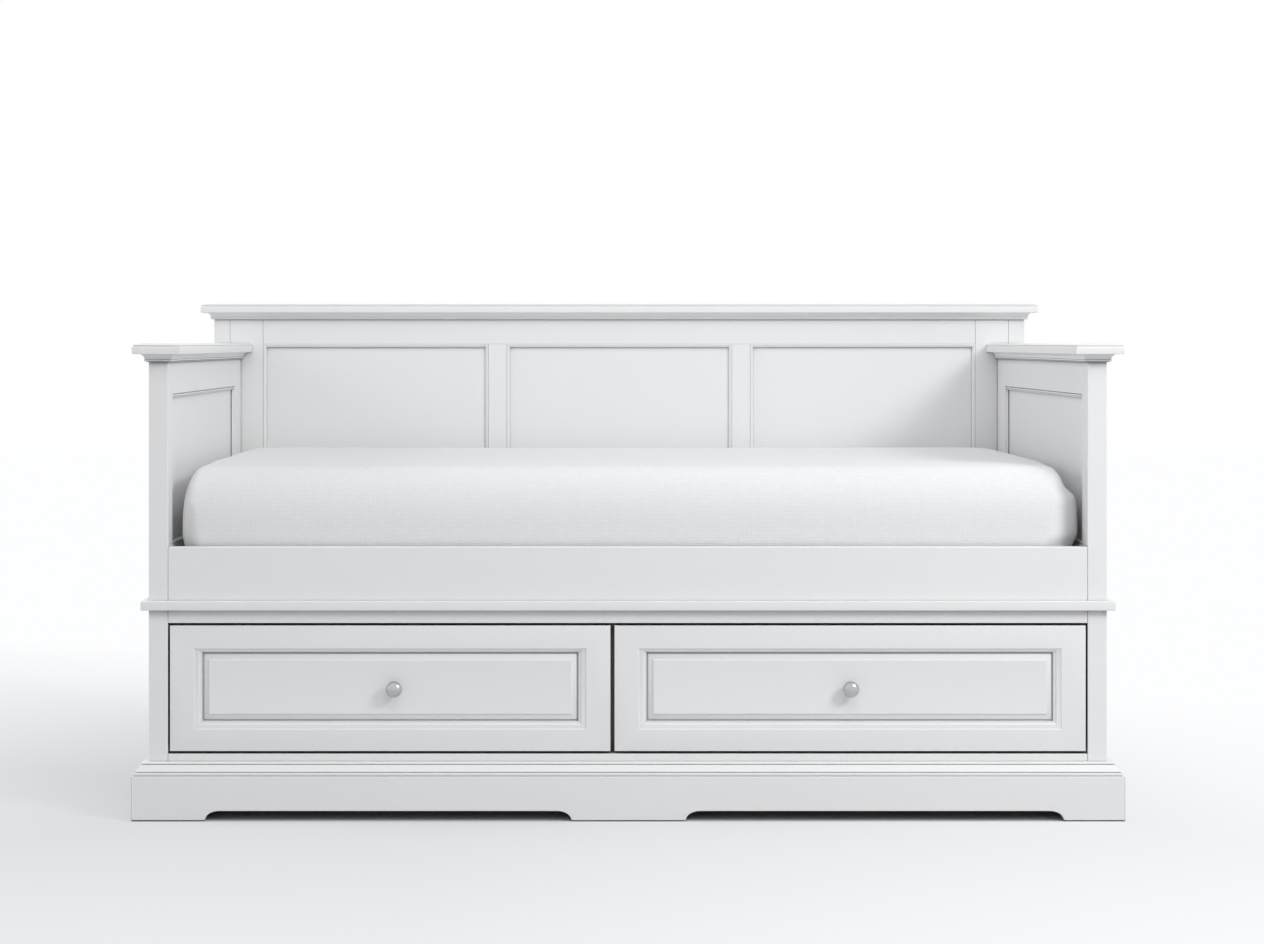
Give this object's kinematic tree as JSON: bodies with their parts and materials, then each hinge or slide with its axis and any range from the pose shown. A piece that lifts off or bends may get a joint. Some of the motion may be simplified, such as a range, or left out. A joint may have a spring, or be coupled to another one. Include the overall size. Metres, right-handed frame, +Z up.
{
  "type": "storage daybed",
  "caption": "White painted storage daybed with panelled arms and back, drawers in a moulded plinth base, a slat base and a loose mattress.",
  "frame": {"origin": "on the floor, at the middle of the overall length and depth", "axes": "+X along the bed, to the right as seen from the front; +Y from the front to the back; +Z up"},
  "size_m": [2.1136, 1.1446, 1.0905],
  "materials": {
    "white_paint": "satin white paint on wood",
    "birch_plywood": "bare plywood, lightly sealed",
    "pine": "bare planed pine",
    "beech": "waxed beech",
    "nickel": "polished nickel plate",
    "white_cotton": "slub-woven cotton cover"
  },
  "bodies": {
    "root": {"arm_left_back_stile": "white_paint", "arm_left_cap": "white_paint", "arm_left_crown": "white_paint", "arm_left_end_board": "white_paint", "arm_left_panel": "white_paint", "arm_left_top_rail": "white_paint", "arm_right_back_stile": "white_paint", "arm_right_cap": "white_paint", "arm_right_crown": "white_paint", "arm_right_end_board": "white_paint", "arm_right_panel": "white_paint", "arm_right_top_rail": "white_paint", "back_bottom_rail": "white_paint", "back_cap": "white_paint", "back_crown": "white_paint", "back_muntin_left": "white_paint", "back_muntin_right": "white_paint", "back_panel_left": "white_paint", "back_panel_middle": "white_paint", "back_panel_right": "white_paint", "back_post_left": "white_paint", "back_post_right": "white_paint", "back_stile_left": "white_paint", "back_stile_right": "white_paint", "back_top_rail": "white_paint", "base_moulding_front": "white_paint", "base_moulding_left": "white_paint", "base_moulding_right": "white_paint", "belt_moulding_front": "white_paint", "belt_moulding_left": "white_paint", "belt_moulding_right": "white_paint", "drawer_left_runner_left": "beech", "drawer_left_runner_right": "beech", "drawer_right_runner_left": "beech", "drawer_right_runner_right": "beech", "drawer_partition": "birch_plywood", "drawer_sill_rail": "white_paint", "front_bed_rail": "white_paint", "front_post_left": "white_paint", "front_post_right": "white_paint", "lower_back_board": "white_paint", "plinth_front": "white_paint", "plinth_left": "white_paint", "plinth_right": "white_paint", "slat_base": "pine", "slat_cleat_back": "pine", "slat_cleat_front": "pine"},
    "drawer_left": {"drawer_left_back": "birch_plywood", "drawer_left_bottom": "birch_plywood", "drawer_left_front": "white_paint", "drawer_left_knob": "nickel", "drawer_left_side_left": "birch_plywood", "drawer_left_side_right": "birch_plywood"},
    "drawer_right": {"drawer_right_back": "birch_plywood", "drawer_right_bottom": "birch_plywood", "drawer_right_front": "white_paint", "drawer_right_knob": "nickel", "drawer_right_side_left": "birch_plywood", "drawer_right_side_right": "birch_plywood"},
    "mattress": {"mattress": "white_cotton"}
  },
  "joints": [
    {"name": "drawer_left_slide", "type": "slide", "parent": "root", "child": "drawer_left", "axis": [0, -1, 0], "range_m": [0, 0.5]},
    {"name": "drawer_right_slide", "type": "slide", "parent": "root", "child": "drawer_right", "axis": [0, -1, 0], "range_m": [0, 0.5]},
    {"name": "mattress_lift", "type": "slide", "parent": "root", "child": "mattress", "axis": [0, 0, 1], "range_m": [0, 0.2]}
  ]
}
